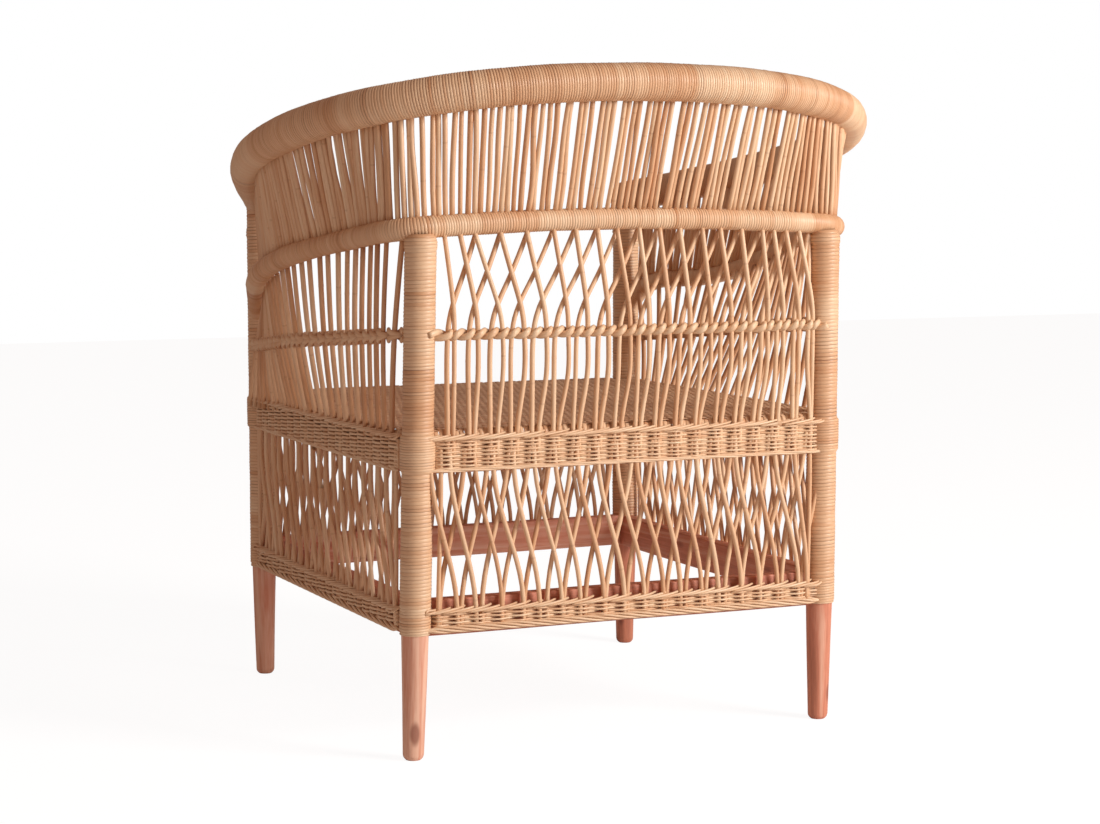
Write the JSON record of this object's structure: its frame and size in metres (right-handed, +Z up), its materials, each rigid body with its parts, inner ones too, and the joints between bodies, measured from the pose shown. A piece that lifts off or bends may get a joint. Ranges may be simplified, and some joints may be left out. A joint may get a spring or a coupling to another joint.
{
  "type": "cane armchair",
  "caption": "Armchair with round wooden posts, horseshoe back and arms of wrapped cane rails on spokes, crossed cane panels, woven bands and a woven cane seat.",
  "frame": {"origin": "on the floor, under the centre of the chair's bounding box", "axes": "-Y the way the sitter faces, +X the sitter's left, +Z up"},
  "size_m": [0.8012, 0.6718, 0.8005],
  "materials": {
    "post_wood": "reddish turned hardwood, oiled, with grain streaks",
    "rail_wood": "sawn and planed reddish hardwood, plain",
    "wrapping_cane": "split cane wound closely, varnished to a satin sheen",
    "round_cane": "whole thin cane with its skin, varnished, varied in tone",
    "woven_cane": "split cane woven and twined, varnished, varied in tone"
  },
  "bodies": {
    "root": {"top_roll": "wrapping_cane", "middle_rail": "wrapping_cane", "back_left_post": "post_wood", "back_left_post_wrap": "wrapping_cane", "back_right_post": "post_wood", "back_right_post_wrap": "wrapping_cane", "front_left_post": "post_wood", "front_left_post_wrap": "wrapping_cane", "front_right_post": "post_wood", "front_right_post_wrap": "wrapping_cane", "back_stretcher": "rail_wood", "back_seat_rail": "rail_wood", "back_seat_band": "woven_cane", "back_lower_band": "woven_cane", "back_lower_canes_outer": "round_cane", "back_lower_canes_inner": "round_cane", "front_stretcher": "rail_wood", "front_seat_rail": "rail_wood", "front_seat_band": "woven_cane", "front_lower_band": "woven_cane", "front_lower_canes_outer": "round_cane", "front_lower_canes_inner": "round_cane", "left_stretcher": "rail_wood", "left_seat_rail": "rail_wood", "left_seat_band": "woven_cane", "left_lower_band": "woven_cane", "left_lower_canes_outer": "round_cane", "left_lower_canes_inner": "round_cane", "right_stretcher": "rail_wood", "right_seat_rail": "rail_wood", "right_seat_band": "woven_cane", "right_lower_band": "woven_cane", "right_lower_canes_outer": "round_cane", "right_lower_canes_inner": "round_cane", "seat_cross_rail": "rail_wood", "woven_seat": "woven_cane", "back_canes_outer": "round_cane", "back_canes_inner": "round_cane", "left_arm_spokes": "round_cane", "right_arm_spokes": "round_cane", "back_waist_rail": "woven_cane", "left_waist_rail": "woven_cane", "right_waist_rail": "woven_cane", "back_upper_spokes": "round_cane", "left_upper_spokes": "round_cane", "right_upper_spokes": "round_cane"}
  },
  "joints": []
}
